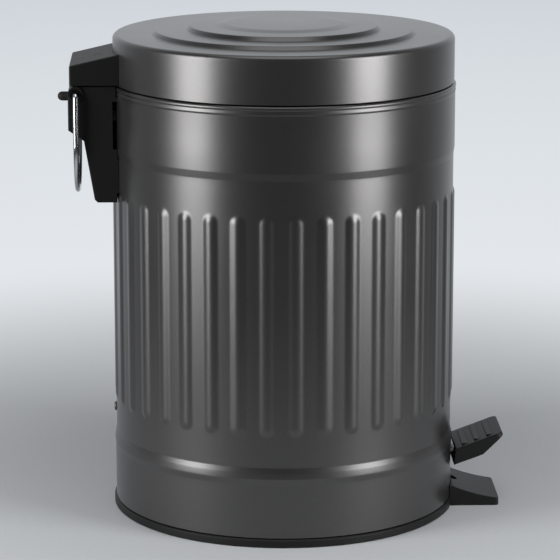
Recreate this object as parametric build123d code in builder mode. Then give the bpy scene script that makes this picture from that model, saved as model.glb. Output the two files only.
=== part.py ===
from build123d import *
from math import asin, cos, degrees, hypot, radians, sin, sqrt, tan
import os

# A five litre pedal bin of painted sheet steel, in millimetres.
# The origin is the centre of the base on the floor, +Z is up, the pedal faces -Y
# and the lid hinge is at +Y.

os.makedirs("parts", exist_ok=True)

# Clearances
seat_gap = 0.05          # curved faces that are fixed to each other
pin_fit = 0.05           # a pin that turns in its hole
press_fit = 0.02         # a pin, screw or rivet that stays in its hole
moving_gap = 0.35        # pieces that move past each other
edge_gap = 0.3           # edges of fixed neighbours that need no fit
guide_fit = 0.08         # the rod in its guides
through = 12.0           # how far a cut runs to both sides of the sheet it goes through
root_depth = 10.0        # how deep a moulding is drawn before it is cut to the body's curve

# Shell: the rolled and beaded body
body_radius = 100.0
body_sheet = 0.5
body_bottom = 5.6
body_top = 254.9
lower_band_stand = 0.7   # how far the plain lower band stands out from the beaded zone
upper_band_stand = 0.6
lower_step_bottom = 36.9
lower_step_bead = 7.1    # height of the soft bead below the lower step
lower_step_rise = 0.5
lower_step_slope = 3.0
upper_step_bottom = 212.7
upper_step_slope = 4.3
rim_roll_radius = 1.5
rim_stand = 0.4
neck_bead_height = 2.2
neck_bead_rise = 0.3
neck_land = 0.2          # plain strip between the neck bead and the roll
roll_closing = 50.0      # degrees below level at which the roll meets the wall
bead_count = 38
bead_width = 9.2
bead_height = 1.1
bead_bottom = 66.0
bead_top = 192.0
bead_phase = 1.94        # degrees from the left side, where the first bead stands
pedal_slot_margin = 2.0  # open height above and below the moving lever
rod_slot_gap = 0.8

# Lid
lid_radius = 100.0
lid_sheet = 0.6
lid_gap = 0.8            # open line between the rolled rim and the lid's edge
lid_skirt = 27.3
lid_corner_radius = 3.0
outer_ring_radius = 77.5
outer_ring_rise = 2.2
inner_ring_radius = 57.0
inner_ring_rise = 2.4
ring_slope = 1.9
crown_radius = 33.7
crown_rise = 1.0
crown_slope = 6.3

# Hinge line, which the lid and the carry handle share
hinge_reach = 121.0
hinge_height = 251.0
hinge_pin_radius = 1.5
lid_opening = 74.0       # degrees

# Lower hinge housing
housing_half_width = 26.5
housing_cheek = 2.5
housing_wall = 2.2
housing_edge_radius = 0.7
housing_edge_start = 5.0  # the rounded edges start this far off the shell
ear_radius = 4.6
ear_stand = 0.8
ear_length = 5.0
housing_bottom = 187.4
housing_foot_reach = 109.2
housing_foot_chamfer = 1.6
housing_beak_reach = 116.6
housing_beak_height = 223.6
housing_back_bottom = 229.8
housing_relief = 2.6
housing_opening = 4.0    # depth of the mouth towards the shell
rear_wall_rise = 1.5     # rear wall above the hinge line
mouth_drop = 5.0         # mouth of the hollow below the hinge line
relief_bottom = 218.5
relief_top = 246.5
boss_radius = 4.2
boss_length = 10.0
boss_offset = 20.0
lower_boss_height = 200.0
upper_boss_height = 238.0
boss_sink = 3.0          # how far the bosses start inside the body's radius
boss_floor = 1.0         # closed end of a screw boss
backing_sheet = 1.0
backing_margin = 5.0

# Upper hinge housing, which carries the lid
arm_half_width = 28.4
arm_wall = 2.4
arm_rise = 5.3           # height of its lower edge above the hinge line
arm_reach = 3.6          # how far it stands behind the hinge line
arm_height = 11.3        # height of its rear face
arm_slope = 13.0         # degrees
arm_front_wall = 104.0   # where its hollow begins
arm_edge_radius = 1.2
arm_side_radius = 0.9
arm_slot_length = 4.4
arm_slot_width = 0.9
arm_slot_depth = 0.5
arm_slot_place = (-5.5, 109.0)
arm_mark_radius = 0.7
arm_mark_place = (-7.3, 116.8)
knuckle_inner = 14.0
knuckle_width = 4.6
knuckle_radius = 3.6
lid_screw_offset = 20.0
lid_screw_height = 268.5

# Lift finger on the lid arm and the rod that pushes it
rod_radius = 1.5
lift_radius = 9.0        # rod line in front of the hinge line
lift_drop = 13.5         # lift face below the hinge line when the lid is shut
finger_half_width = 3.5
finger_nose = 3.0        # finger in front of the rod line
finger_chamfer = 2.5
finger_clearance = 0.4   # finger in front of the hinge pin
finger_lean = 1.2
lift_steps = 8
rod_reach = 94.0         # rod line inside the shell
rod_jog_bottom = 211.0
rod_jog_top = 224.0
rod_bend_radius = 6.0
collar_radius = 3.0
collar_height = 1.2
clip_radius = 4.0
clip_thickness = 0.8
clip_slot = 0.9
rod_end_stand = 0.9      # rod below its clip
rod_slot_play = 0.4      # rod in the lever's slot
rod_slot_length = 1.2
guide_half_width = 6.0
guide_height = 8.0
guide_depth = 2.7        # guide in front of the rod line
lower_guide_height = 54.0
upper_guide_height = 198.0
guide_bore_wall = 1.0    # between the rod's bore and the rivet

# Carry handle
wire_radius = 1.6
handle_drop = 61.7       # hinge line to the lowest point of the wire
handle_bend_radius = 3.0
handle_recess_radius = 3.2
handle_recess_depth = 1.5
handle_seat = 3.7        # length of wire in the ear
handle_side_gap = 0.3    # wire beside the lid arm
ear_floor = 0.4          # wall between the pin's hole and the wire's hole
pin_end_gap = 0.2
pin_chamfer = 0.3

# Rubber stop on the housing
stop_radius = 2.7
stop_length = 6.8
stop_stem_radius = 1.6
stop_flange_radius = 3.0
stop_flange = 1.2
stop_flange_taper = 0.6

# Base
ring_radius = 101.8
ring_height = 5.0
ring_width = 17.8
ring_floor = 2.5
ring_lip = 3.0
ring_edge = 0.8
ring_boss_radius = 4.5
ring_screw_radius = 92.0
plate_height = 8.0
plate_sheet = 0.8
plate_flange = 2.9
plate_edge_radius = 0.6
screw_point = 1.8        # screw above the plate that it holds
head_floor = 0.6         # screw head above the floor

# Front foot
foot_half_width = 21.5
foot_reach = 128.3
foot_root_height = 12.0
foot_tip_height = 4.5
foot_scoop = 1.0
foot_wall = 2.7
foot_tongue = 76.0
foot_screw_offset = 13.0
foot_screw_reach = 86.0
foot_notch_radius = 4.0
foot_notch_floor = 1.5
foot_edge_radius = 2.0
foot_plate_gap = 0.4
foot_tip_roof = 2.2

# Pedal lever
lever_pivot_reach = -16.0
lever_pivot_height = 21.0
lever_half_width = 9.0
lever_sheet = 1.8
web_over_pin = 4.0
lever_depth = 8.5
lever_end_depth = 4.0
lever_end_margin = 4.5
lever_pin_radius = 2.0
lever_side_gap = 0.4
pin_clip_gap = 0.2
pin_clip_width = 1.9
pin_clip_mouth = 2.8
pin_clip_thickness = 0.8
pin_end_stand = 1.2
pin_end_chamfer = 0.4
lever_belly = 8.0        # half length of the deep part around the pin
channel_end = 90.0       # where the lever's side flanges end, towards the pedal
channel_taper = 8.0
channel_end_drop = 0.4   # bend of the web where the channel ends
tongue_root_height = 29.6
tongue_bend = 94.0
tongue_end = 120.0
slot_half_width = 16.0
clevis_sheet = 1.2
clevis_half_width = 22.0
clevis_half_length = 9.0
clevis_ear_radius = 5.5
clevis_corner_radius = 3.0
clevis_foot_inset = 1.0
rivet_offset = 16.5
rivet_spread = 5.5

# Pedal tread
pedal_half_width = 19.6
pedal_slope = 20.5       # degrees
pedal_root_gap = 1.8
pedal_root_height = 34.5
pedal_length = 29.4
pedal_root_depth = 9.8
pedal_tip_depth = 2.1
pedal_belly_reach = 14.1
pedal_belly_depth = 9.5
pedal_corner_radius = 3.5
pedal_edge_radius = 0.6
tread_slack = 0.01  # how far the tread's normal may be off the slope's cosine
pedal_belly_rise = 0.6
pedal_root_lean = 1.1
tread_count = 3
tread_pitch = 7.8
tread_start = 4.3
tread_length = 3.8
tread_depth = 1.1
tread_margin = 3.8
tread_lip = 0.15         # depth left at the shallow end of a pocket
tread_clear = 1.0
sleeve_end_gap = 0.3
pedal_screw_spread = 5.0
pedal_screw_reach = 110.0
pedal_screw_floor = 4.0  # cap under the tongue
pedal_screw_length = 6.6
pedal_screw_tip_gap = 0.4

# Bucket
bucket_bottom = 45.0
bucket_bottom_radius = 80.0
bucket_top_radius = 92.3
bucket_wall = 1.5
bucket_corner_radius = 6.0
flange_radius = 98.6
flange_thickness = 1.5
flange_gap = 0.3         # flange above the rolled rim
flange_drop = 2.5        # slope between the wall and the flange
flange_slope = 2.5
flange_inner_slope = 1.0
bail_wire_radius = 1.5
bail_radius = 95.2
bail_tab_half_width = 5.0
bail_tab_thickness = 2.2
bail_tab_gap = 0.6
bail_gap = 0.3
grip_radius = 3.5
grip_half_angle = 14.0   # degrees

# Fasteners
screw_radius = 1.5
screw_head_radius = 2.7
screw_head_height = 1.8
screw_slot_width = 0.7
screw_slot_depth = 0.8
rivet_radius = 1.5
rivet_head_radius = 2.8
rivet_head_height = 1.3
rivet_tail_height = 0.8
rivet_seat = 0.1         # rivet head off the curved sheet

# Derived sizes of the shell
lower_band_radius = body_radius + lower_band_stand
upper_band_radius = body_radius + upper_band_stand
lower_bead_top = lower_step_bottom + lower_step_bead
lower_step_top = lower_bead_top + lower_step_slope
upper_step_top = upper_step_bottom + upper_step_slope
roll_centre_radius = upper_band_radius + rim_stand - rim_roll_radius
roll_centre_height = body_top - rim_roll_radius
neck_top = roll_centre_height - rim_roll_radius - neck_land
neck_bottom = neck_top - neck_bead_height
inside_radius = body_radius - body_sheet
rim_radius = upper_band_radius + rim_stand

# Derived sizes of the lid
lid_bottom = body_top + lid_gap
lid_top = lid_bottom + lid_skirt
outer_ring_top = lid_top + outer_ring_rise
inner_ring_top = outer_ring_top + inner_ring_rise
lid_inside_radius = lid_radius - lid_sheet

# The rod rises evenly with the lid, because its head runs on an involute
rod_line = hinge_reach - lift_radius
rod_travel = lift_radius * radians(lid_opening)
rod_top = hinge_height - lift_drop - moving_gap

# The lever swings evenly to both sides of level under the rod
lever_rear_arm = rod_reach - lever_pivot_reach
lever_swing = 2 * degrees(asin(rod_travel / 2 / lever_rear_arm))
lever_tilt = radians(lever_swing / 2)


def web_height(reach):
    """Height of the lever's top face at a distance along Y, behind its pin, with the lid shut."""
    over_pin = web_over_pin / cos(lever_tilt)
    return lever_pivot_height + over_pin - (reach - lever_pivot_reach) * tan(lever_tilt)


def tongue_height(reach):
    """Height of the lever's top face under the pedal, at a distance in front of the axis."""
    return tongue_root_height + (reach - tongue_bend) * tan(radians(pedal_slope))


web_at_rod = web_height(rod_reach)
collar_bottom = web_at_rod + moving_gap
clip_top = web_at_rod - lever_sheet / cos(lever_tilt) - moving_gap
rod_bottom = clip_top - clip_thickness - rod_end_stand

print("rod travel", round(rod_travel, 3), "lever swing", round(lever_swing, 3))


def block(x_range, y_range, z_range, mode=Mode.ADD):
    """A box between two corners."""
    middle = [(low + high) / 2 for low, high in (x_range, y_range, z_range)]
    size = [high - low for low, high in (x_range, y_range, z_range)]
    with Locations(tuple(middle)):
        Box(*size, mode=mode)


def drum(radius, z_range, mode=Mode.ADD):
    """An upright cylinder on the bin's axis."""
    with Locations((0, 0, (z_range[0] + z_range[1]) / 2)):
        Cylinder(radius, z_range[1] - z_range[0], mode=mode)


def bar_along_y(radius, x, y_range, z, mode=Mode.ADD):
    """A round bar that points at the back of the bin."""
    with Locations((x, (y_range[0] + y_range[1]) / 2, z)):
        Cylinder(radius, y_range[1] - y_range[0], rotation=(90, 0, 0), mode=mode)


def bar_along_x(radius, x_range, y, z, mode=Mode.ADD):
    """A round bar across the bin."""
    with Locations(((x_range[0] + x_range[1]) / 2, y, z)):
        Cylinder(radius, x_range[1] - x_range[0], rotation=(0, 90, 0), mode=mode)


def pan_screw(length):
    """A slotted screw that points up, with the underside of its head at zero."""
    with BuildPart() as screw:
        with BuildSketch(Plane.XZ):
            with BuildLine():
                Polyline((0, -screw_head_height), (screw_head_radius * 0.75, -screw_head_height))
                ThreePointArc(
                    (screw_head_radius * 0.75, -screw_head_height),
                    (screw_head_radius * 0.94, -screw_head_height * 0.65),
                    (screw_head_radius, 0),
                )
                Polyline(
                    (screw_head_radius, 0),
                    (screw_radius, 0),
                    (screw_radius, length - screw_radius),
                    (screw_radius * 0.3, length),
                    (0, length),
                    (0, -screw_head_height),
                )
            make_face()
        revolve(axis=Axis.Z)
        with Locations((0, 0, -screw_head_height)):
            Box(2 * screw_head_radius, screw_slot_width, 2 * screw_slot_depth, mode=Mode.SUBTRACT)
    return screw.part


def dome_rivet(grip):
    """A rivet that points up through a grip, with a dome at zero and a flat upset head behind."""
    with BuildPart() as rivet:
        with BuildSketch(Plane.XZ):
            with BuildLine():
                ThreePointArc(
                    (0, -rivet_head_height),
                    (rivet_head_radius * 0.72, -rivet_head_height * 0.68),
                    (rivet_head_radius, 0),
                )
                Polyline(
                    (rivet_head_radius, 0),
                    (rivet_radius, 0),
                    (rivet_radius, grip),
                    (rivet_head_radius * 0.85, grip),
                    (rivet_head_radius * 0.7, grip + rivet_tail_height),
                    (0, grip + rivet_tail_height),
                    (0, -rivet_head_height),
                )
            make_face()
        revolve(axis=Axis.Z)
    return rivet.part


# Shell

# One upright bead is a capsule that stands out of the body, and the sheet follows it inside
bead_crown_radius = ((bead_width / 2) ** 2 + bead_height**2) / (2 * bead_height)
bead_line = body_radius + bead_height - bead_crown_radius


def bead_capsule(radius):
    """The capsule of one bead: its round ends meet the body at the bead's own ends."""
    end_inset = sqrt(bead_crown_radius**2 - (body_radius - bead_line) ** 2)
    low = bead_bottom + end_inset
    high = bead_top - end_inset
    with BuildPart() as capsule:
        with BuildSketch(Plane.XZ):
            with BuildLine():
                Line((0, low - radius), (0, high + radius))
                RadiusArc((0, high + radius), (radius, high), radius)
                Line((radius, high), (radius, low))
                RadiusArc((radius, low), (0, low - radius), radius)
            make_face()
        revolve(axis=Axis.Z)
    return capsule.part


bead_outside = bead_capsule(bead_crown_radius)
bead_inside = bead_capsule(bead_crown_radius - body_sheet)
roll_side = rim_roll_radius * cos(radians(roll_closing))
roll_low = roll_centre_height - rim_roll_radius * sin(radians(roll_closing))
bead_middle = (lower_step_bottom + lower_bead_top) / 2
neck_middle = (neck_bottom + neck_top) / 2
pedal_slot_top = tongue_height(lower_band_radius) + pedal_slot_margin
pedal_slot_bottom = (
    tongue_height(lower_band_radius)
    - lever_sheet
    - (lower_band_radius + lever_pivot_reach) * sin(2 * lever_tilt)
    - pedal_slot_margin
)
jog_slope = (rod_jog_top - rod_jog_bottom) / (rod_line - rod_reach)
jog_half_height = rod_radius * hypot(1, jog_slope)
rod_slot_bottom = rod_jog_bottom + jog_slope * (inside_radius - rod_reach) - jog_half_height - rod_slot_gap
rod_slot_top = (
    rod_jog_bottom
    + jog_slope * (upper_band_radius - rod_reach)
    + jog_half_height
    + rod_travel
    + rod_slot_gap
)
bracket_screw_places = [
    (side * boss_offset, height) for side in (-1, 1) for height in (lower_boss_height, upper_boss_height)
]
guide_rivet_heights = [low + guide_height / 2 for low in (lower_guide_height, upper_guide_height)]
sheet_range = (body_radius - through, body_radius + through)

with BuildPart() as shell:
    with BuildSketch(Plane.XZ):
        with BuildLine():
            Line((lower_band_radius, body_bottom), (lower_band_radius, lower_step_bottom))
            ThreePointArc(
                (lower_band_radius, lower_step_bottom),
                (lower_band_radius + lower_step_rise, bead_middle),
                (lower_band_radius, lower_bead_top),
            )
            Polyline(
                (lower_band_radius, lower_bead_top),
                (body_radius, lower_step_top),
                (body_radius, upper_step_bottom),
                (upper_band_radius, upper_step_top),
                (upper_band_radius, neck_bottom),
            )
            ThreePointArc(
                (upper_band_radius, neck_bottom),
                (upper_band_radius + neck_bead_rise, neck_middle),
                (upper_band_radius, neck_top),
            )
            Line((upper_band_radius, neck_top), (roll_centre_radius + roll_side, roll_low))
            ThreePointArc(
                (roll_centre_radius + roll_side, roll_low),
                (roll_centre_radius, body_top),
                (roll_centre_radius - roll_side, roll_low),
            )
            Line((roll_centre_radius - roll_side, roll_low), (upper_band_radius - body_sheet, neck_top))
            ThreePointArc(
                (upper_band_radius - body_sheet, neck_top),
                (upper_band_radius - body_sheet + neck_bead_rise, neck_middle),
                (upper_band_radius - body_sheet, neck_bottom),
            )
            Polyline(
                (upper_band_radius - body_sheet, neck_bottom),
                (upper_band_radius - body_sheet, upper_step_top),
                (inside_radius, upper_step_bottom),
                (inside_radius, lower_step_top),
                (lower_band_radius - body_sheet, lower_bead_top),
            )
            ThreePointArc(
                (lower_band_radius - body_sheet, lower_bead_top),
                (lower_band_radius - body_sheet + lower_step_rise, bead_middle),
                (lower_band_radius - body_sheet, lower_step_bottom),
            )
            Polyline(
                (lower_band_radius - body_sheet, lower_step_bottom),
                (lower_band_radius - body_sheet, body_bottom),
                (lower_band_radius, body_bottom),
            )
        make_face()
    revolve(axis=Axis.Z)
    with PolarLocations(bead_line, bead_count, start_angle=180 + bead_phase):
        add(bead_outside)
    drum(inside_radius, (bead_bottom - bead_crown_radius, bead_top + bead_crown_radius), Mode.SUBTRACT)
    with PolarLocations(bead_line, bead_count, start_angle=180 + bead_phase):
        add(bead_inside, mode=Mode.SUBTRACT)
    block(
        (-slot_half_width, slot_half_width),
        (-body_radius - through, -body_radius + through),
        (pedal_slot_bottom, pedal_slot_top),
        Mode.SUBTRACT,
    )
    block(
        (-rod_radius - rod_slot_gap, rod_radius + rod_slot_gap),
        sheet_range,
        (rod_slot_bottom, rod_slot_top),
        Mode.SUBTRACT,
    )
    for x, z in bracket_screw_places:
        bar_along_y(screw_radius + press_fit, x, sheet_range, z, Mode.SUBTRACT)
    for z in guide_rivet_heights:
        bar_along_y(rivet_radius + press_fit, 0, sheet_range, z, Mode.SUBTRACT)
shell.part.label = "shell"
export_step(shell.part, "parts/shell.step")

# Lid cover


def lid_outline(inset):
    """The lid's skin from the middle of the crown to the skirt's edge."""
    corner = lid_radius - lid_corner_radius
    return [
        (0, inner_ring_top + crown_rise - inset),
        (crown_radius - inset, inner_ring_top + crown_rise - inset),
        (crown_radius + crown_slope - inset, inner_ring_top - inset),
        (inner_ring_radius - ring_slope - inset, inner_ring_top - inset),
        (inner_ring_radius - inset, outer_ring_top - inset),
        (outer_ring_radius - ring_slope - inset, outer_ring_top - inset),
        (outer_ring_radius - inset, lid_top - inset),
        (corner - inset, lid_top - inset),
        (lid_radius - inset, lid_top - lid_corner_radius - inset),
        (lid_radius - inset, lid_bottom),
    ]


with BuildPart() as lid_cover:
    with BuildSketch(Plane.XZ):
        with BuildLine():
            outside = lid_outline(0)
            inside = lid_outline(lid_sheet)
            Polyline(*outside[:8])
            RadiusArc(outside[7], outside[8], lid_corner_radius)
            Polyline(outside[8], outside[9], inside[9], inside[8])
            RadiusArc(inside[8], inside[7], -lid_corner_radius)
            Polyline(*reversed(inside[:8]))
            Line(inside[0], outside[0])
        make_face()
    revolve(axis=Axis.Z)
    for side in (-1, 1):
        bar_along_y(
            screw_radius + press_fit,
            side * lid_screw_offset,
            (lid_radius - through, lid_radius + through),
            lid_screw_height,
            Mode.SUBTRACT,
        )
lid_cover.part.label = "lid_cover"
export_step(lid_cover.part, "parts/lid_cover.step")

# Lid arm, the upper hinge housing

arm_bottom = hinge_height + arm_rise
arm_rear = hinge_reach + arm_reach
arm_rear_top = arm_bottom + arm_height


def arm_roof(reach):
    """Height of the arm's sloping top face."""
    return arm_rear_top + (arm_rear - reach) * tan(radians(arm_slope))


def lift_point(angle):
    """A point of the lift face, in the lid's own frame, where the rod touches at a lid angle."""
    fall = lift_drop - lift_radius * angle
    return (
        hinge_reach - lift_radius * cos(angle) + fall * sin(angle),
        hinge_height - lift_radius * sin(angle) - fall * cos(angle),
    )


lift_angles = [radians(lid_opening) * step / lift_steps for step in range(lift_steps + 1)]
lift_face = [lift_point(angle) for angle in lift_angles]
finger_front = lift_radius + finger_nose
finger_back = hinge_pin_radius + finger_clearance
knuckle_back = arm_rear - arm_wall / 4
knuckle_outer = knuckle_inner + knuckle_width
knuckle_ranges = [(knuckle_inner, knuckle_outer), (-knuckle_outer, -knuckle_inner)]

with BuildPart() as lid_arm:
    with BuildSketch(Plane.YZ):
        with BuildLine():
            Polyline(
                (lid_radius - root_depth, arm_bottom),
                (arm_rear, arm_bottom),
                (arm_rear, arm_rear_top),
                (lid_radius - root_depth, arm_roof(lid_radius - root_depth)),
                close=True,
            )
        make_face()
    extrude(amount=arm_half_width, both=True)
    rear_edges = lid_arm.edges().filter_by(Axis.X).sort_by(Axis.Y)[-2:]
    fillet(rear_edges.sort_by(Axis.Z)[-1], radius=arm_edge_radius)
    side_edges = lid_arm.edges().filter_by(Axis.X, reverse=True)
    outer_edges = side_edges.filter_by(lambda edge: edge.center().Y > lid_radius)
    fillet(
        outer_edges.filter_by(lambda edge: edge.center().Z > arm_bottom + arm_side_radius),
        radius=arm_side_radius,
    )
    with BuildSketch(Plane.YZ):
        with BuildLine():
            Polyline(
                (arm_front_wall, arm_bottom - 1),
                (arm_rear - arm_wall, arm_bottom - 1),
                (arm_rear - arm_wall, arm_roof(arm_rear - arm_wall) - arm_wall),
                (arm_front_wall, arm_roof(arm_front_wall) - arm_wall),
                close=True,
            )
        make_face()
    extrude(amount=arm_half_width - arm_wall, both=True, mode=Mode.SUBTRACT)
    # Knuckles that turn on the hinge pin
    for x_range in knuckle_ranges:
        with BuildSketch(Plane.YZ.offset(x_range[0])):
            with BuildLine():
                Polyline(
                    (hinge_reach - knuckle_radius, hinge_height),
                    (hinge_reach - knuckle_radius, arm_roof(hinge_reach - knuckle_radius) - arm_wall / 2),
                    (knuckle_back, arm_roof(knuckle_back) - arm_wall / 2),
                    (knuckle_back, arm_bottom),
                    (hinge_reach + knuckle_radius, hinge_height),
                )
                ThreePointArc(
                    (hinge_reach + knuckle_radius, hinge_height),
                    (hinge_reach, hinge_height - knuckle_radius),
                    (hinge_reach - knuckle_radius, hinge_height),
                )
            make_face()
        extrude(amount=knuckle_width)
    # Lift finger with its involute face
    with BuildSketch(Plane.YZ):
        with BuildLine():
            Spline(*lift_face)
            Polyline(
                lift_face[-1],
                (hinge_reach - finger_back + finger_lean, hinge_height - lift_drop / 2),
                (hinge_reach - finger_back, hinge_height - lift_drop / 3),
                (hinge_reach - finger_back, arm_roof(hinge_reach - finger_back) - arm_wall / 2),
                (hinge_reach - finger_front, arm_roof(hinge_reach - finger_front) - arm_wall / 2),
                (hinge_reach - finger_front, hinge_height - lift_drop + finger_chamfer),
                (hinge_reach - lift_radius - rod_radius, hinge_height - lift_drop),
                lift_face[0],
            )
        make_face()
    extrude(amount=finger_half_width, both=True)
    bar_along_x(
        hinge_pin_radius + pin_fit,
        (-arm_half_width, arm_half_width),
        hinge_reach,
        hinge_height,
        Mode.SUBTRACT,
    )
    drum(lid_radius + seat_gap, (arm_bottom - through, lid_top + through), Mode.SUBTRACT)
    for side in (-1, 1):
        bar_along_y(
            screw_radius + press_fit,
            side * lid_screw_offset,
            (lid_radius - root_depth, arm_front_wall - boss_floor / 2),
            lid_screw_height,
            Mode.SUBTRACT,
        )
    # A small slot and a dimple in the top face
    slot_x, slot_y = arm_slot_place
    with Locations(Location((slot_x, slot_y, arm_roof(slot_y)), (-arm_slope, 0, 0))):
        Box(arm_slot_width, arm_slot_length, 2 * arm_slot_depth, mode=Mode.SUBTRACT)
    with Locations((*arm_mark_place, arm_roof(arm_mark_place[1]))):
        Sphere(arm_mark_radius, mode=Mode.SUBTRACT)
lid_arm.part.label = "lid_arm"
export_step(lid_arm.part, "parts/lid_arm.step")

# Lid backing plate and screws, inside the skirt

lid_plate_bottom = lid_screw_height - backing_margin
lid_plate_top = lid_screw_height + backing_margin
lid_plate_radius = lid_inside_radius - seat_gap
lid_head_edge = lid_screw_offset + screw_head_radius
lid_head_reach = sqrt((lid_plate_radius - backing_sheet) ** 2 - lid_head_edge**2) - press_fit

with BuildPart() as lid_backing_plate:
    drum(lid_plate_radius, (lid_plate_bottom, lid_plate_top))
    drum(lid_plate_radius - backing_sheet, (lid_plate_bottom, lid_plate_top), Mode.SUBTRACT)
    block(
        (-lid_screw_offset - backing_margin, lid_screw_offset + backing_margin),
        (0, lid_radius),
        (lid_plate_bottom, lid_plate_top),
        Mode.INTERSECT,
    )
    for side in (-1, 1):
        bar_along_y(
            screw_radius + press_fit,
            side * lid_screw_offset,
            (lid_radius - through, lid_radius),
            lid_screw_height,
            Mode.SUBTRACT,
        )
lid_backing_plate.part.label = "lid_backing_plate"
export_step(lid_backing_plate.part, "parts/lid_backing_plate.step")

lid_screw = pan_screw(arm_front_wall - boss_floor - lid_head_reach)
with BuildPart() as lid_screws:
    for side in (-1, 1):
        with Locations(Plane((side * lid_screw_offset, lid_head_reach, lid_screw_height), z_dir=(0, 1, 0))):
            add(lid_screw)
lid_screws.part.label = "lid_screws"
export_step(lid_screws.part, "parts/lid_screws.step")

# Hinge bracket, the lower hinge housing

ear_back = hinge_reach + ear_radius
ear_top = hinge_height + ear_radius
bracket_outline = [
    (body_radius - root_depth, ear_top),
    (hinge_reach, ear_top),
    (ear_back, hinge_height),
    (ear_back, housing_back_bottom),
    (housing_beak_reach, housing_beak_height),
    (housing_foot_reach + housing_foot_chamfer, housing_bottom + housing_foot_chamfer),
    (housing_foot_reach, housing_bottom),
    (body_radius - root_depth, housing_bottom),
]
half_inside = housing_half_width - housing_cheek
inner_ear = half_inside - ear_length
notch_inner = knuckle_inner - 2 * moving_gap
notch_bottom = hinge_height - knuckle_radius - 2 * moving_gap
rear_wall_top = hinge_height + rear_wall_rise
handle_face = housing_half_width + ear_stand
pin_end = handle_face - handle_recess_depth - handle_seat
boss_end = body_radius - boss_sink + boss_length
bore_range = (body_radius - root_depth, boss_end - boss_floor)
rear_wall_range = (ear_back - 2 * housing_wall, ear_back + housing_wall)

# The peg stops the lid, so it stands a gap under the arm's rear edge with the lid open
open_angle = radians(lid_opening)
arm_corner_drop = arm_reach * sin(open_angle) - arm_rise * cos(open_angle)
stop_height = hinge_height - arm_corner_drop - moving_gap - stop_radius

with BuildPart() as hinge_bracket:
    with BuildSketch(Plane.YZ):
        with BuildLine():
            Line(bracket_outline[0], bracket_outline[1])
            RadiusArc(bracket_outline[1], bracket_outline[2], ear_radius)
            Polyline(*bracket_outline[2:], bracket_outline[0])
        make_face()
    extrude(amount=housing_half_width, both=True)
    side_edges = hinge_bracket.edges().filter_by(Axis.X, reverse=True)
    fillet(
        side_edges.filter_by(lambda edge: edge.center().Y > body_radius + housing_edge_start),
        radius=housing_edge_radius,
    )
    with BuildSketch(Plane.YZ):
        with BuildLine():
            Line(bracket_outline[0], bracket_outline[1])
            RadiusArc(bracket_outline[1], bracket_outline[2], ear_radius)
            Polyline(*bracket_outline[2:], bracket_outline[0])
        make_face()
        offset(amount=-housing_wall, mode=Mode.REPLACE)
    extrude(amount=housing_half_width - housing_cheek, both=True, mode=Mode.SUBTRACT)
    # The top and the side towards the shell are open
    block(
        (-half_inside, half_inside),
        (body_radius - through, ear_back + through),
        (rear_wall_top, ear_top + through),
        Mode.SUBTRACT,
    )
    block(
        (-half_inside, half_inside),
        (body_radius - through, hinge_reach - housing_wall),
        (hinge_height - mouth_drop, ear_top + through),
        Mode.SUBTRACT,
    )
    block(
        (-half_inside, half_inside),
        (body_radius - through, body_radius + housing_opening),
        (housing_bottom + housing_wall, ear_top),
        Mode.SUBTRACT,
    )
    # Ears with the pin inside and the handle outside
    for x_range in ((inner_ear, handle_face), (-handle_face, -inner_ear)):
        bar_along_x(ear_radius, x_range, hinge_reach, hinge_height)
    for x_range in ((notch_inner, inner_ear), (-inner_ear, -notch_inner)):
        block(x_range, (hinge_reach - ear_radius, ear_back + 1), (notch_bottom, ear_top + 1), Mode.SUBTRACT)
    # Gap towards the shell, left open beside the rolled rim
    drum(upper_band_radius + housing_relief, (relief_bottom, relief_top), Mode.SUBTRACT)
    for x, z in bracket_screw_places:
        bar_along_y(boss_radius, x, (body_radius - root_depth, boss_end), z)
    drum(body_radius + bead_height + 2 * seat_gap, (housing_bottom - 1, bead_top + 1), Mode.SUBTRACT)
    drum(body_radius + seat_gap, (bead_top, upper_step_bottom), Mode.SUBTRACT)
    drum(upper_band_radius + seat_gap, (upper_step_bottom, neck_bottom), Mode.SUBTRACT)
    drum(rim_radius + moving_gap, (neck_bottom - edge_gap, ear_top + 1), Mode.SUBTRACT)
    bar_along_x(hinge_pin_radius + press_fit, (-pin_end, pin_end), hinge_reach, hinge_height, Mode.SUBTRACT)
    for side in (-1, 1):
        seat_range = sorted((side * (pin_end + ear_floor), side * (handle_face + 1)))
        bar_along_x(wire_radius + pin_fit, seat_range, hinge_reach, hinge_height, Mode.SUBTRACT)
        recess_range = sorted((side * (handle_face - handle_recess_depth), side * (handle_face + 1)))
        bar_along_x(handle_recess_radius, recess_range, hinge_reach, hinge_height, Mode.SUBTRACT)
    for x, z in bracket_screw_places:
        bar_along_y(screw_radius + press_fit, x, bore_range, z, Mode.SUBTRACT)
    bar_along_y(stop_stem_radius + press_fit, 0, rear_wall_range, stop_height, Mode.SUBTRACT)
hinge_bracket.part.label = "hinge_bracket"
export_step(hinge_bracket.part, "parts/hinge_bracket.step")

# Backing plate and screws behind the hinge bracket, inside the shell

bracket_plate_radius = inside_radius - seat_gap
bracket_plate_range = (lower_boss_height - backing_margin, upper_boss_height + backing_margin)
bracket_head_edge = boss_offset + screw_head_radius
bracket_head_reach = sqrt((bracket_plate_radius - backing_sheet) ** 2 - bracket_head_edge**2) - press_fit

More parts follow.
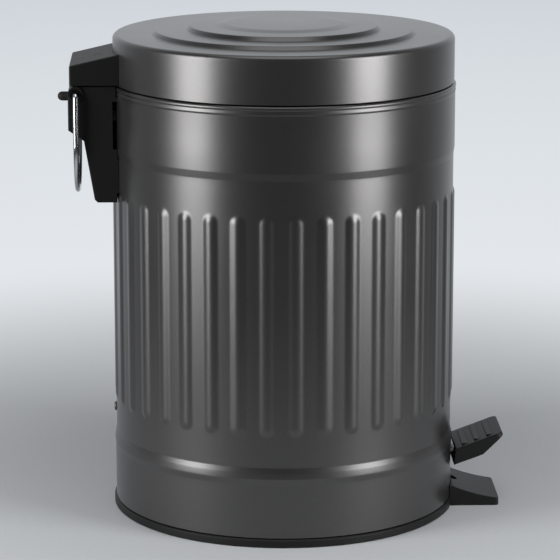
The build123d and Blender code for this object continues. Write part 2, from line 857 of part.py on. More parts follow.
with BuildPart() as bracket_backing_plate:
    drum(bracket_plate_radius, bracket_plate_range)
    drum(bracket_plate_radius - backing_sheet, bracket_plate_range, Mode.SUBTRACT)
    block(
        (-boss_offset - backing_margin, boss_offset + backing_margin),
        (0, body_radius),
        bracket_plate_range,
        Mode.INTERSECT,
    )
    block(
        (-guide_half_width - edge_gap, guide_half_width + edge_gap),
        (0, body_radius),
        (bead_top, rod_slot_top),
        Mode.SUBTRACT,
    )
    for x, z in bracket_screw_places:
        bar_along_y(screw_radius + press_fit, x, (body_radius - through, body_radius), z, Mode.SUBTRACT)
bracket_backing_plate.part.label = "bracket_backing_plate"
export_step(bracket_backing_plate.part, "parts/bracket_backing_plate.step")

bracket_screw = pan_screw(boss_end - 2 * boss_floor - bracket_head_reach)
with BuildPart() as bracket_screws:
    for x, z in bracket_screw_places:
        with Locations(Plane((x, bracket_head_reach, z), z_dir=(0, 1, 0))):
            add(bracket_screw)
bracket_screws.part.label = "bracket_screws"
export_step(bracket_screws.part, "parts/bracket_screws.step")

# Hinge pin

pin_half = pin_end - pin_end_gap
with BuildPart() as hinge_pin:
    bar_along_x(hinge_pin_radius, (-pin_half, pin_half), hinge_reach, hinge_height)
    chamfer(hinge_pin.edges(), length=pin_chamfer)
hinge_pin.part.label = "hinge_pin"
export_step(hinge_pin.part, "parts/hinge_pin.step")

# Rubber peg on the housing, pushed through its rear wall

stop_inner = ear_back - housing_wall - press_fit
stop_tip = ear_back + stop_length
with BuildPart() as lid_stop_bumper:
    with BuildSketch(Plane.XY):
        with BuildLine():
            Polyline(
                (0, stop_inner - stop_flange),
                (stop_flange_radius - stop_flange_taper, stop_inner - stop_flange),
                (stop_flange_radius, stop_inner - stop_flange / 2),
                (stop_flange_radius, stop_inner),
                (stop_stem_radius, stop_inner),
                (stop_stem_radius, ear_back + press_fit),
                (stop_radius, ear_back + press_fit),
                (stop_radius, stop_tip - stop_radius),
            )
            RadiusArc((stop_radius, stop_tip - stop_radius), (0, stop_tip), -stop_radius)
            Line((0, stop_tip), (0, stop_inner - stop_flange))
        make_face()
    revolve(axis=Axis.Y)
lid_stop_bumper.part = lid_stop_bumper.part.moved(Location((0, 0, stop_height)))
lid_stop_bumper.part.label = "lid_stop_bumper"
export_step(lid_stop_bumper.part, "parts/lid_stop_bumper.step")

# Carry handle: one chrome wire that hangs in the ears

handle_side = arm_half_width + handle_side_gap + wire_radius
handle_low = hinge_height - handle_drop + wire_radius
handle_tip = pin_end + ear_floor + pin_end_gap
handle_points = [
    (handle_tip, hinge_height),
    (handle_side, hinge_height),
    (handle_side, handle_low),
    (-handle_side, handle_low),
    (-handle_side, hinge_height),
    (-handle_tip, hinge_height),
]
handle_arc = handle_side - seat_gap
handle_turns = [handle_bend_radius, handle_arc, handle_arc, handle_bend_radius]

with BuildPart() as carry_handle:
    with BuildLine(Plane.XZ.offset(-hinge_reach)) as handle_path:
        FilletPolyline(*handle_points, radius=handle_turns)
    with BuildSketch(Plane(handle_path.line @ 0, z_dir=handle_path.line % 0)):
        Circle(wire_radius)
    sweep(path=handle_path.line)
carry_handle.part.label = "carry_handle"
export_step(carry_handle.part, "parts/carry_handle.step")

# Push rod with its swaged collar, and the clip below the lever

with BuildPart() as push_rod:
    with BuildLine(Plane.YZ) as rod_path:
        FilletPolyline(
            (rod_reach, rod_bottom),
            (rod_reach, rod_jog_bottom),
            (rod_line, rod_jog_top),
            (rod_line, rod_top),
            radius=rod_bend_radius,
        )
    with BuildSketch(Plane(rod_path.line @ 0, z_dir=rod_path.line % 0)):
        Circle(rod_radius)
    sweep(path=rod_path.line)
    with Locations((0, rod_reach, collar_bottom + collar_height / 2)):
        Cylinder(collar_radius, collar_height)
push_rod.part.label = "push_rod"
export_step(push_rod.part, "parts/push_rod.step")

with BuildPart() as rod_end_clip:
    with Locations((0, rod_reach, clip_top - clip_thickness / 2)):
        Cylinder(clip_radius, clip_thickness)
        Cylinder(rod_radius + press_fit, clip_thickness, mode=Mode.SUBTRACT)
        with PolarLocations(rod_radius + clip_slot, 3):
            Box(clip_slot, clip_slot, clip_thickness, mode=Mode.SUBTRACT)
rod_end_clip.part.label = "rod_end_clip"
export_step(rod_end_clip.part, "parts/rod_end_clip.step")

# Rod guides and the rivets that hold them

guide_rivet_end = rod_reach + rod_radius + guide_bore_wall
guide_head_range = (body_radius + rivet_seat, body_radius + rivet_seat + rivet_head_height)

with BuildPart() as rod_guides:
    for low in (lower_guide_height, upper_guide_height):
        block(
            (-guide_half_width, guide_half_width),
            (rod_reach - guide_depth, body_radius),
            (low, low + guide_height),
        )
    with BuildSketch(Plane.XY):
        Circle(inside_radius - seat_gap)
    extrude(amount=body_top, mode=Mode.INTERSECT)
    with Locations((0, rod_reach, body_top / 2)):
        Cylinder(rod_radius + guide_fit, body_top, mode=Mode.SUBTRACT)
    for z in guide_rivet_heights:
        bar_along_y(rivet_radius + press_fit, 0, (guide_rivet_end, body_radius), z, Mode.SUBTRACT)
rod_guides.part.label = "rod_guides"
export_step(rod_guides.part, "parts/rod_guides.step")

with BuildPart() as guide_rivets:
    for z in guide_rivet_heights:
        bar_along_y(rivet_radius, 0, (guide_rivet_end + pin_end_gap, guide_head_range[0]), z)
        bar_along_y(rivet_head_radius, 0, guide_head_range, z)
    fillet(guide_rivets.edges().group_by(Axis.Y)[-1], radius=rivet_head_height * 0.7)
guide_rivets.part.label = "guide_rivets"
export_step(guide_rivets.part, "parts/guide_rivets.step")

# Bottom plate, pressed into the shell

plate_radius = lower_band_radius - body_sheet - seat_gap
plate_top = plate_height + plate_sheet
ring_screw_places = PolarLocations(ring_screw_radius, 4, start_angle=45)
foot_screw_places = [(side * foot_screw_offset, -foot_screw_reach) for side in (-1, 1)]
clevis_rivet_places = [
    (x, lever_pivot_reach + y) for x in (-rivet_offset, rivet_offset) for y in (-rivet_spread, rivet_spread)
]

with BuildPart() as bottom_plate:
    drum(plate_radius, (plate_top - plate_flange, plate_top))
    drum(plate_radius - plate_sheet, (plate_top - plate_flange, plate_height), Mode.SUBTRACT)
    fillet(bottom_plate.edges().group_by(Axis.Z)[-1], radius=plate_edge_radius)
    with ring_screw_places:
        Cylinder(screw_radius + press_fit, 4 * plate_height, mode=Mode.SUBTRACT)
    with Locations(*foot_screw_places):
        Cylinder(screw_radius + press_fit, 4 * plate_height, mode=Mode.SUBTRACT)
    with Locations(*clevis_rivet_places):
        Cylinder(rivet_radius + press_fit, 4 * plate_height, mode=Mode.SUBTRACT)
bottom_plate.part.label = "bottom_plate"
export_step(bottom_plate.part, "parts/bottom_plate.step")

# Base ring, open at the front for the foot

head_seat = head_floor + screw_head_height
ring_inner_radius = ring_radius - ring_width

with BuildPart() as base_ring:
    with BuildSketch(Plane.XZ):
        with BuildLine():
            Polyline(
                (ring_inner_radius, 0),
                (ring_radius - ring_edge, 0),
                (ring_radius, ring_edge),
                (ring_radius, ring_height - ring_edge),
                (ring_radius - ring_edge, ring_height),
                (ring_radius - ring_lip, ring_height),
                (ring_radius - ring_lip, ring_floor),
                (ring_inner_radius + ring_lip, ring_floor),
                (ring_inner_radius + ring_lip, ring_height),
                (ring_inner_radius, ring_height),
                close=True,
            )
        make_face()
    revolve(axis=Axis.Z)
    with ring_screw_places:
        with Locations((0, 0, plate_height / 2)):
            Cylinder(ring_boss_radius, plate_height)
            Cylinder(screw_radius + press_fit, plate_height, mode=Mode.SUBTRACT)
        with Locations((0, 0, head_seat / 2)):
            Cylinder(screw_head_radius + edge_gap, head_seat, mode=Mode.SUBTRACT)
    block(
        (-foot_half_width - edge_gap, foot_half_width + edge_gap),
        (-ring_radius - 1, -ring_inner_radius + through),
        (-1, plate_height),
        Mode.SUBTRACT,
    )
base_ring.part.label = "base_ring"
export_step(base_ring.part, "parts/base_ring.step")

base_screw = pan_screw(plate_top + screw_point - head_seat)
with BuildPart() as base_ring_screws:
    with ring_screw_places:
        with Locations((0, 0, head_seat)):
            add(base_screw)
base_ring_screws.part.label = "base_ring_screws"
export_step(base_ring_screws.part, "parts/base_ring_screws.step")

# Front foot: a toe outside the shell on a tongue that runs under the bottom plate

foot_back_radius = lower_band_radius + edge_gap
tongue_top = body_bottom - foot_plate_gap
foot_middle = (foot_back_radius + foot_reach) / 2
foot_middle_height = (foot_root_height + foot_tip_height) / 2 - foot_scoop
hollow_front = foot_reach - foot_wall
hollow_back = foot_back_radius + foot_wall
foot_fall = (foot_root_height - foot_tip_height) / (foot_reach - foot_back_radius)
notch_depth = foot_root_height - tongue_top - foot_notch_floor

with BuildPart() as front_foot:
    with BuildSketch(Plane.YZ):
        with BuildLine():
            Polyline(
                (-foot_tongue, 0),
                (-foot_reach, 0),
                (-foot_reach, foot_tip_height),
            )
            ThreePointArc(
                (-foot_reach, foot_tip_height),
                (-foot_middle, foot_middle_height),
                (-foot_back_radius, foot_root_height),
            )
            Polyline(
                (-foot_back_radius, foot_root_height),
                (-foot_tongue, foot_root_height),
                (-foot_tongue, 0),
            )
        make_face()
    extrude(amount=foot_half_width, both=True)
    fillet(front_foot.edges().filter_by(Axis.Z).group_by(Axis.Y)[0], radius=foot_edge_radius)
    # Room for the shell and for the bottom plate above the tongue
    drum(foot_back_radius, (plate_height, foot_root_height + 1), Mode.SUBTRACT)
    with BuildSketch(Plane.XY.offset(tongue_top)):
        Circle(foot_back_radius)
        Circle(plate_radius - plate_sheet - foot_plate_gap, mode=Mode.SUBTRACT)
    extrude(amount=foot_root_height, mode=Mode.SUBTRACT)
    # Hollow under the toe
    with BuildSketch(Plane.YZ):
        with BuildLine():
            Polyline(
                (-hollow_back, -1),
                (-hollow_front, -1),
                (-hollow_front, foot_tip_height - foot_tip_roof),
                (-foot_middle, foot_middle_height - foot_wall),
                (-hollow_back, foot_root_height - foot_wall - foot_fall * foot_wall - foot_scoop),
                close=True,
            )
        make_face()
    extrude(amount=foot_half_width - foot_wall, both=True, mode=Mode.SUBTRACT)
    # Arched notch beside the shell
    with Locations((0, -foot_back_radius, foot_root_height)):
        Cylinder(foot_notch_radius, 2 * notch_depth, mode=Mode.SUBTRACT)
    with Locations(*foot_screw_places):
        Cylinder(screw_radius + press_fit, 4 * plate_height, mode=Mode.SUBTRACT)
        Cylinder(screw_head_radius + edge_gap, 2 * head_seat, mode=Mode.SUBTRACT)
front_foot.part.label = "front_foot"
export_step(front_foot.part, "parts/front_foot.step")

with BuildPart() as front_foot_screws:
    with Locations(*[(x, y, head_seat) for x, y in foot_screw_places]):
        add(base_screw)
front_foot_screws.part.label = "front_foot_screws"
export_step(front_foot_screws.part, "parts/front_foot_screws.step")

# Lever bracket: a clevis riveted to the bottom plate

clevis_inner = lever_half_width + lever_side_gap
clevis_foot = clevis_half_length - clevis_foot_inset
with BuildPart() as lever_bracket:
    block(
        (-clevis_half_width, clevis_half_width),
        (lever_pivot_reach - clevis_half_length, lever_pivot_reach + clevis_half_length),
        (plate_top, plate_top + clevis_sheet),
    )
    fillet(lever_bracket.edges().filter_by(Axis.Z), radius=clevis_corner_radius)
    for start in (clevis_inner, -clevis_inner - clevis_sheet):
        with BuildSketch(Plane.YZ.offset(start)):
            with BuildLine():
                Polyline(
                    (lever_pivot_reach + clevis_ear_radius, lever_pivot_height),
                    (lever_pivot_reach + clevis_foot, plate_top + clevis_sheet / 2),
                    (lever_pivot_reach - clevis_foot, plate_top + clevis_sheet / 2),
                    (lever_pivot_reach - clevis_ear_radius, lever_pivot_height),
                )
                ThreePointArc(
                    (lever_pivot_reach - clevis_ear_radius, lever_pivot_height),
                    (lever_pivot_reach, lever_pivot_height + clevis_ear_radius),
                    (lever_pivot_reach + clevis_ear_radius, lever_pivot_height),
                )
            make_face()
        extrude(amount=clevis_sheet)
    bar_along_x(
        lever_pin_radius + press_fit,
        (-clevis_half_width, clevis_half_width),
        lever_pivot_reach,
        lever_pivot_height,
        Mode.SUBTRACT,
    )
    with Locations(*clevis_rivet_places):
        Cylinder(rivet_radius + press_fit, 4 * plate_height, mode=Mode.SUBTRACT)
lever_bracket.part.label = "lever_bracket"
export_step(lever_bracket.part, "parts/lever_bracket.step")

clevis_rivet = dome_rivet(plate_sheet + clevis_sheet)
with BuildPart() as lever_bracket_rivets:
    with Locations(*[(x, y, plate_height) for x, y in clevis_rivet_places]):
        add(clevis_rivet)
lever_bracket_rivets.part.label = "lever_bracket_rivets"
export_step(lever_bracket_rivets.part, "parts/lever_bracket_rivets.step")

# Lever pin and its two clips

clip_inner = clevis_inner + clevis_sheet + pin_clip_gap
pin_reach = clip_inner + pin_clip_thickness + pin_end_stand
with BuildPart() as lever_pin:
    bar_along_x(lever_pin_radius, (-pin_reach, pin_reach), lever_pivot_reach, lever_pivot_height)
    chamfer(lever_pin.edges(), length=pin_end_chamfer)
lever_pin.part.label = "lever_pin"
export_step(lever_pin.part, "parts/lever_pin.step")

with BuildPart() as lever_pin_clips:
    for start in (clip_inner, -clip_inner - pin_clip_thickness):
        with BuildSketch(Plane.YZ.offset(start)):
            with Locations((lever_pivot_reach, lever_pivot_height)):
                Circle(lever_pin_radius + pin_clip_width)
                Circle(lever_pin_radius + press_fit, mode=Mode.SUBTRACT)
                with Locations((0, -lever_pin_radius - pin_clip_width / 2)):
                    Rectangle(pin_clip_mouth, 2 * lever_pin_radius, mode=Mode.SUBTRACT)
        extrude(amount=pin_clip_thickness)
lever_pin_clips.part.label = "lever_pin_clips"
export_step(lever_pin_clips.part, "parts/lever_pin_clips.step")

# Pedal lever: a channel from the rod to the shell, and a flat tongue in the tread

lever_rear = rod_reach + lever_end_margin
channel_top = tongue_root_height - channel_end_drop
belly_height = web_height(lever_pivot_reach) - lever_depth
lever_web = [
    (lever_rear, web_height(lever_rear)),
    (lever_pivot_reach, web_height(lever_pivot_reach)),
    (-channel_end, channel_top),
    (-tongue_bend, tongue_root_height),
    (-tongue_end, tongue_height(tongue_end)),
]
lever_flange = [
    (-tongue_end, tongue_height(tongue_end) - lever_sheet),
    (-tongue_bend, tongue_root_height - lever_sheet),
    (-channel_end, channel_top - lever_sheet),
    (-channel_end + channel_taper, channel_top - channel_end_drop - lever_end_depth),
    (lever_pivot_reach - lever_belly, belly_height),
    (lever_pivot_reach + lever_belly, belly_height),
    (lever_rear, web_height(lever_rear) - lever_end_depth),
]
below = belly_height - through

with BuildPart() as pedal_lever:
    with BuildSketch(Plane.YZ):
        with BuildLine():
            Polyline(*lever_web, *lever_flange, close=True)
        make_face()
    extrude(amount=lever_half_width, both=True)
    with BuildSketch(Plane.YZ):
        with BuildLine():
            Polyline(
                (lever_rear + 1, below),
                (lever_rear + 1, web_height(lever_rear + 1) - lever_sheet),
                (lever_pivot_reach, web_height(lever_pivot_reach) - lever_sheet),
                (-channel_end, channel_top - lever_sheet),
                (-channel_end, below),
                close=True,
            )
        make_face()
    extrude(amount=lever_half_width - lever_sheet, both=True, mode=Mode.SUBTRACT)
    bar_along_x(
        lever_pin_radius + pin_fit,
        (-clevis_half_width, clevis_half_width),
        lever_pivot_reach,
        lever_pivot_height,
        Mode.SUBTRACT,
    )
    with BuildSketch(Plane.XY.offset(web_at_rod)):
        with Locations((0, rod_reach)):
            SlotCenterToCenter(rod_slot_length, 2 * (rod_radius + rod_slot_play), rotation=90)
    extrude(amount=2 * lever_sheet, both=True, mode=Mode.SUBTRACT)
    with Locations(*[(side * pedal_screw_spread, -pedal_screw_reach) for side in (-1, 1)]):
        Cylinder(screw_radius + press_fit, 4 * pedal_root_height, mode=Mode.SUBTRACT)
pedal_lever.part.label = "pedal_lever"
export_step(pedal_lever.part, "parts/pedal_lever.step")

# Pedal cap: the moulded tread with three toothed pockets

pedal_root = lower_band_radius + pedal_root_gap
slope_cos = cos(radians(pedal_slope))
slope_sin = sin(radians(pedal_slope))


def tread_point(along, deep):
    """A point of the tread's side view, along its top face and square below it."""
    return (
        -(pedal_root + along * slope_cos + deep * slope_sin),
        pedal_root_height + along * slope_sin - deep * slope_cos,
    )


pedal_outline = [
    tread_point(0, 0),
    tread_point(pedal_length, 0),
    tread_point(pedal_length, pedal_tip_depth),
    tread_point(pedal_belly_reach, pedal_belly_depth - pedal_belly_rise),
    (-(pedal_root - pedal_root_lean), pedal_root_height - pedal_root_depth),
]
sleeve_front = tongue_end + sleeve_end_gap
screw_floor = tongue_height(pedal_screw_reach) - lever_sheet - pedal_screw_floor
screw_bore = pedal_screw_length + pedal_screw_tip_gap

with BuildPart() as pedal_cap:
    with BuildSketch(Plane.YZ):
        with BuildLine():
            Polyline(*pedal_outline, close=True)
        make_face()
    extrude(amount=pedal_half_width, both=True)
    fillet(
        pedal_cap.faces().sort_by(Axis.Y)[0].edges().filter_by(GeomType.LINE).group_by(SortBy.LENGTH)[0],
        radius=pedal_corner_radius,
    )
    level_faces = pedal_cap.faces().filter_by(lambda face: face.normal_at().Z > slope_cos - tread_slack)
    fillet(level_faces.sort_by(Axis.Z)[-1].edges(), radius=pedal_edge_radius)
    for tooth in range(tread_count):
        near = tread_start + tooth * tread_pitch
        with BuildSketch(Plane.YZ):
            with BuildLine():
                Polyline(
                    tread_point(near, tread_depth),
                    tread_point(near, -tread_clear),
                    tread_point(near + tread_length, -tread_clear),
                    tread_point(near + tread_length, tread_lip),
                    close=True,
                )
            make_face()
        extrude(amount=pedal_half_width - tread_margin, both=True, mode=Mode.SUBTRACT)
    # Sleeve for the lever's tongue
    with BuildSketch(Plane.YZ):
        with BuildLine():
            Polyline(
                (-tongue_bend, tongue_height(tongue_bend) + seat_gap),
                (-sleeve_front, tongue_height(sleeve_front) + seat_gap),
                (-sleeve_front, tongue_height(sleeve_front) - lever_sheet - seat_gap),
                (-tongue_bend, tongue_height(tongue_bend) - lever_sheet - seat_gap),
                close=True,
            )
        make_face()
    extrude(amount=lever_half_width + seat_gap, both=True, mode=Mode.SUBTRACT)
    with Locations(*[(side * pedal_screw_spread, -pedal_screw_reach, screw_floor) for side in (-1, 1)]):
        Cylinder(screw_radius + press_fit, 2 * screw_bore, mode=Mode.SUBTRACT)
        Cylinder(
            screw_head_radius + edge_gap,
            through,
            align=(Align.CENTER, Align.CENTER, Align.MAX),
            mode=Mode.SUBTRACT,
        )
pedal_cap.part.label = "pedal_cap"
export_step(pedal_cap.part, "parts/pedal_cap.step")

cap_screw = pan_screw(pedal_screw_length)
with BuildPart() as pedal_cap_screws:
    with Locations(*[(side * pedal_screw_spread, -pedal_screw_reach, screw_floor) for side in (-1, 1)]):
        add(cap_screw)
pedal_cap_screws.part.label = "pedal_cap_screws"
export_step(pedal_cap_screws.part, "parts/pedal_cap_screws.step")

# Bucket with its flange on the rolled rim

flange_bottom = body_top + flange_gap
flange_top = flange_bottom + flange_thickness
bail_height = flange_top + grip_radius + bail_gap
tab_outer = bail_radius - bail_wire_radius - bail_tab_gap
shoulder = flange_bottom - flange_drop

with BuildPart() as bucket:
    with BuildSketch(Plane.XZ):
        with BuildLine():
            Polyline(
                (0, bucket_bottom),
                (bucket_bottom_radius, bucket_bottom),
                (bucket_top_radius, shoulder),
                (bucket_top_radius + flange_slope, flange_bottom),
                (flange_radius, flange_bottom),
                (flange_radius, flange_top),
                (bucket_top_radius + flange_inner_slope, flange_top),
                (bucket_top_radius - bucket_wall, shoulder),
                (bucket_bottom_radius - bucket_wall, bucket_bottom + bucket_wall),
                (0, bucket_bottom + bucket_wall),
                close=True,
            )
        make_face()
    revolve(axis=Axis.Z)
    fillet(bucket.edges().group_by(Axis.Z)[0], radius=bucket_corner_radius)
    fillet(
        bucket.edges().filter_by_position(Axis.Z, bucket_bottom + 1, bucket_bottom + 2),
        radius=bucket_corner_radius - bucket_wall,
    )
    for side in (-1, 1):
        tab_range = sorted((side * (tab_outer - bail_tab_thickness), side * tab_outer))
        with BuildSketch(Plane.YZ.offset(tab_range[0])):
            with BuildLine():
                Polyline(
                    (bail_tab_half_width, shoulder),
                    (bail_tab_half_width, bail_height),
                )
                ThreePointArc(
                    (bail_tab_half_width, bail_height),
                    (0, bail_height + bail_tab_half_width),
                    (-bail_tab_half_width, bail_height),
                )
                Polyline(
                    (-bail_tab_half_width, bail_height),
                    (-bail_tab_half_width, shoulder),
                    (bail_tab_half_width, shoulder),
                )
            make_face()
        extrude(amount=bail_tab_thickness)
    bar_along_x(
        bail_wire_radius + pin_fit,
        (-bail_radius, bail_radius),
        0,
        bail_height,
        Mode.SUBTRACT,
    )
bucket.part.label = "bucket"
export_step(bucket.part, "parts/bucket.step")

# Bucket bail and the sleeve on it

bail_tip = tab_outer - bail_tab_thickness - bail_tab_gap
with BuildPart() as bucket_bail:
    with BuildSketch(Plane.XZ):
        with Locations((bail_radius, bail_height)):
            Circle(bail_wire_radius)
    revolve(axis=Axis.Z, revolution_arc=-180)
    for x_range in ((bail_tip, bail_radius), (-bail_radius, -bail_tip)):
        bar_along_x(bail_wire_radius, x_range, 0, bail_height)
    for side in (-1, 1):
        with Locations((side * bail_radius, 0, bail_height)):
            Sphere(bail_wire_radius)
bucket_bail.part.label = "bucket_bail"
export_step(bucket_bail.part, "parts/bucket_bail.step")

with BuildPart() as bucket_grip:
    with BuildSketch(Plane.XZ.rotated((0, 0, -90 + grip_half_angle))):
        with Locations((bail_radius, bail_height)):
            Circle(grip_radius)
            Circle(bail_wire_radius + press_fit, mode=Mode.SUBTRACT)
    revolve(axis=Axis.Z, revolution_arc=-2 * grip_half_angle)
bucket_grip.part.label = "bucket_grip"
export_step(bucket_grip.part, "parts/bucket_grip.step")
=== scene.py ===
"""A pedal bin of dark grey painted steel on a pale studio floor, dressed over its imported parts."""

from math import ceil, cos, hypot, pi, radians, sin, tan

import bmesh
import bpy
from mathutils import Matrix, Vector


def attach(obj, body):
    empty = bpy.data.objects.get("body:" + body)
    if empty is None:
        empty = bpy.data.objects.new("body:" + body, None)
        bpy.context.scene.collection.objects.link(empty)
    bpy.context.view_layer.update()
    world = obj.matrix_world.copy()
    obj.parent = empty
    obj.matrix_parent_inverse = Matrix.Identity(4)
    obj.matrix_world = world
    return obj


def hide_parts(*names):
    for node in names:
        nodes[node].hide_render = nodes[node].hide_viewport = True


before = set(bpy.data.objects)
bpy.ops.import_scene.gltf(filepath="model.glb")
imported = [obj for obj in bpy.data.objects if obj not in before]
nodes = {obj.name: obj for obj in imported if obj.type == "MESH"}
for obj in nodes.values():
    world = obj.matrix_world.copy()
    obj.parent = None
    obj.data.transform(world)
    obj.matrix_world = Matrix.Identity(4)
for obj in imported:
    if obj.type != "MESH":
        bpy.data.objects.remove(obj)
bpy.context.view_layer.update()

# Sizes are in millimetres, as in the part's source, and MM turns them to metres
MM = 0.001
ARC_STEP = radians(6)                   # a bend is drawn in turns of up to this
STRAIGHT = radians(0.5)                 # a corner that turns less than this stays a corner
WELD = 0.01                             # points nearer than this are one
MERGE = 0.001
CREASE = radians(40.0)                  # edges sharper than this stay crisp

# Body
BODY_RADIUS = 100.0
BODY_SHEET = 0.5
BODY_BOTTOM = 5.6
LOWER_BAND_RADIUS = 100.7
UPPER_BAND_RADIUS = 100.6
LOWER_STEP = (36.9, 40.4, 44.0, 47.0)   # foot, crest and end of the soft bead, then the step's top
LOWER_BEAD_RISE = 0.5
UPPER_STEP = (212.7, 217.0)
NECK_BEAD = (249.5, 250.6, 251.7)
NECK_BEAD_RISE = 0.3
NECK_BEND = 1.0
LOWER_BEND = 4.0
LOWER_END_BEND = 2.0
ROLL_RADIUS = 1.5
ROLL_CENTRE = (99.5, 253.4)
ROLL_START = radians(-50)
ROLL_TURN = radians(280)
ROLL_STEPS = 20
STEP_BLEND = 3.0
PLAIN_WALL = (60.0, 200.0)              # the wall is plain up to the beads and again above them
BEAD_COUNT = 38
BEAD_PHASE = radians(181.94)            # direction of the first bead
BEAD_HALF_WIDTH = 4.8                   # where the bead has run out into the wall
BEAD_HEIGHT = 1.0
BEAD_RANGE = (65.0, 193.0)
COLUMNS_PER_BEAD = 20
BEAD_END_ROWS = 12
BEAD_MIDDLE_ROWS = 8
BEAD_MARGIN = 1.0                       # the close rows start this far beyond a bead's end
PEDAL_SLOT_HALF_WIDTH = 16.0
PEDAL_SLOT = (19.4, 34.1)
ROD_SLOT_HALF_WIDTH = 2.3
ROD_SLOT = (210.3, 231.7)

# Lid
LID_RADIUS = 100.0
LID_SHEET = 0.6
LID_BOTTOM = 255.7
LID_TOP = 283.0
LID_CORNER = 3.0
OUTER_RING = (77.5, 75.6, 2.2)          # foot radius, top radius, rise
INNER_RING = (57.0, 55.1, 2.4)
CROWN = (40.0, 33.7, 1.0)
CROWN_BEND = 8.0
RING_EDGE = 1.2
RING_FOOT = 0.6
LID_COLUMNS = 256

# Hinge line and the wire handle in its ears
HINGE_REACH = 121.0
HINGE_HEIGHT = 251.0
HANDLE_WIRE_RADIUS = 1.6
HANDLE_SIDE = 30.3
HANDLE_TIP = 22.7
HANDLE_LOW = 190.9
HANDLE_BEND = 3.0
HANDLE_ARC = 30.25
HANDLE_FACETS = 8

# Camera, from the fit of the body's ellipses in the photograph
CAMERA_TURN = radians(2.0)
CAMERA_DISTANCE = 1688.7
CAMERA_HEIGHT = 513.74
CAMERA_SIDE = -2.13
CAMERA_PITCH = radians(12.658)
SENSOR = 36.0
FRAME_PIXELS = 560
FOCAL_PIXELS = 2906.5

# Pedal tread: its top face runs from a root point up a slope, and three wedges stand on it
TREAD_ROOT = (LOWER_BAND_RADIUS + 1.8, 34.5)  # reach from the axis, height
TREAD_SLOPE = radians(20.5)
RIB_COUNT = 3
RIB_PITCH = 7.8
RIB_START = 4.33
RIB_LENGTH = 3.74
RIB_RISE = 0.9
RIB_SINK = (1.05, 0.15)    # how deep the wedge sits at its high and its low end
RIB_HALF_WIDTH = 15.75
RIB_EDGE = 0.125

# Studio: two tall softboxes beside the camera and a wide one overhead, in metres and watts
AIM_HEIGHT = 0.13
HINGE_SIDE_TURN = radians(-59)
PEDAL_SIDE_TURN = radians(56)
SOFTBOX_DISTANCE = 0.85
SOFTBOX_HEIGHT = 0.32
SOFTBOX_SIZE = (0.36, 0.6)
SOFTBOX_POWER = 6.2
OVERHEAD_DISTANCE = 0.3
OVERHEAD_HEIGHT = 1.6
OVERHEAD_SIZE = (1.2, 1.2)
OVERHEAD_POWER = 7.0
FLOOR_RADIUS = 12.0
FLOOR_SIDES = 96
FLOOR_DROP = 0.00005
FLOOR_FADE = (0.16, 0.7)  # the floor's own shading gives way to the wall's colour over these distances
WALL_FADE = (0.6, 2.6)    # and the wall grows dimmer over these
WALL_PALE = "#e4e8ec"
WALL_FAR = "#cdd3d9"
WALL_SPAN = (0.0, 1.1)    # the pale wall spans these cosines from straight behind the bin
ROOM_DIM = "#4a4a4a"
FILL_STRENGTH = 0.4       # what the world gives to matt surfaces; it shows at strength 1

# Finishes, with their patterns' sizes in millimetres
PAINT_DARK = "#4a4949"
PAINT_LIGHT = "#5b5a5a"
PAINT_METALLIC = 0.9
PAINT_ROUGHNESS = (0.30, 0.38)
MOULDED_SPECULAR = 0.3
COAT = 0.5
COAT_ROUGHNESS = 0.28
FLAKE = 0.6              # the real flake is 0.03 mm, drawn coarse enough to show
CLOUD = 45.0
PEEL = 2.0
PEEL_DEPTH = 0.01
PEEL_STRENGTH = 0.5
GRAIN_STRENGTH = 0.6
GRAIN_DETAIL = 3.0
EDGE_SAMPLES = 6
SPANGLE = 4.0
PAPER_DARK = "#c0c3c6"
PAPER_LIGHT = "#c6c9cc"
PAPER_ROUGHNESS = 0.9
PAPER_FIBRE = 3.0


def linear(colour):
    """An sRGB hex colour as linear red, green, blue and alpha."""
    channels = [int(colour[start : start + 2], 16) / 255 for start in (1, 3, 5)]
    return [c / 12.92 if c <= 0.04045 else ((c + 0.055) / 1.055) ** 2.4 for c in channels] + [1.0]


def add_node(tree, kind, inputs=None, **settings):
    """Adds a node with its settings. An input is a value, or a socket that it's linked to."""
    node = tree.nodes.new(kind)
    for name, value in settings.items():
        setattr(node, name, value)
    for name, value in (inputs or {}).items():
        if isinstance(value, bpy.types.NodeSocket):
            tree.links.new(value, node.inputs[name])
        else:
            node.inputs[name].default_value = value
    return node


def start_material(name):
    """A new material and its node tree, which is still empty."""
    material = bpy.data.materials.new(name)
    material.use_nodes = True
    material.node_tree.nodes.clear()
    return material, material.node_tree


def finish_material(tree, shader):
    """Joins the shader to the material's output."""
    add_node(tree, "ShaderNodeOutputMaterial", {"Surface": shader.outputs[0]})


# Paths and meshes


def rounded(corners):
    """A path of (across, up) points through (across, up, radius) corners, each turned in an arc."""
    path = []
    last = len(corners) - 1
    for index, (across, up, radius) in enumerate(corners):
        here = Vector((across, up))
        if radius == 0 or index in (0, last):
            path.append(here)
            continue
        back = (Vector(corners[index - 1][:2]) - here).normalized()
        on = (Vector(corners[index + 1][:2]) - here).normalized()
        turn = pi - back.angle(on)
        if turn < STRAIGHT:
            path.append(here)
            continue
        reach = radius * tan(turn / 2)
        centre = here + (back + on).normalized() * hypot(radius, reach)
        start = here + back * reach - centre
        steps = max(2, ceil(turn / ARC_STEP))
        side = 1 if start.y * back.x - start.x * back.y > 0 else -1
        for step in range(steps + 1):
            angle = side * turn * step / steps
            across_spun = start.x * cos(angle) - start.y * sin(angle)
            up_spun = start.x * sin(angle) + start.y * cos(angle)
            path.append(centre + Vector((across_spun, up_spun)))
    return [(point.x, point.y) for point in path]


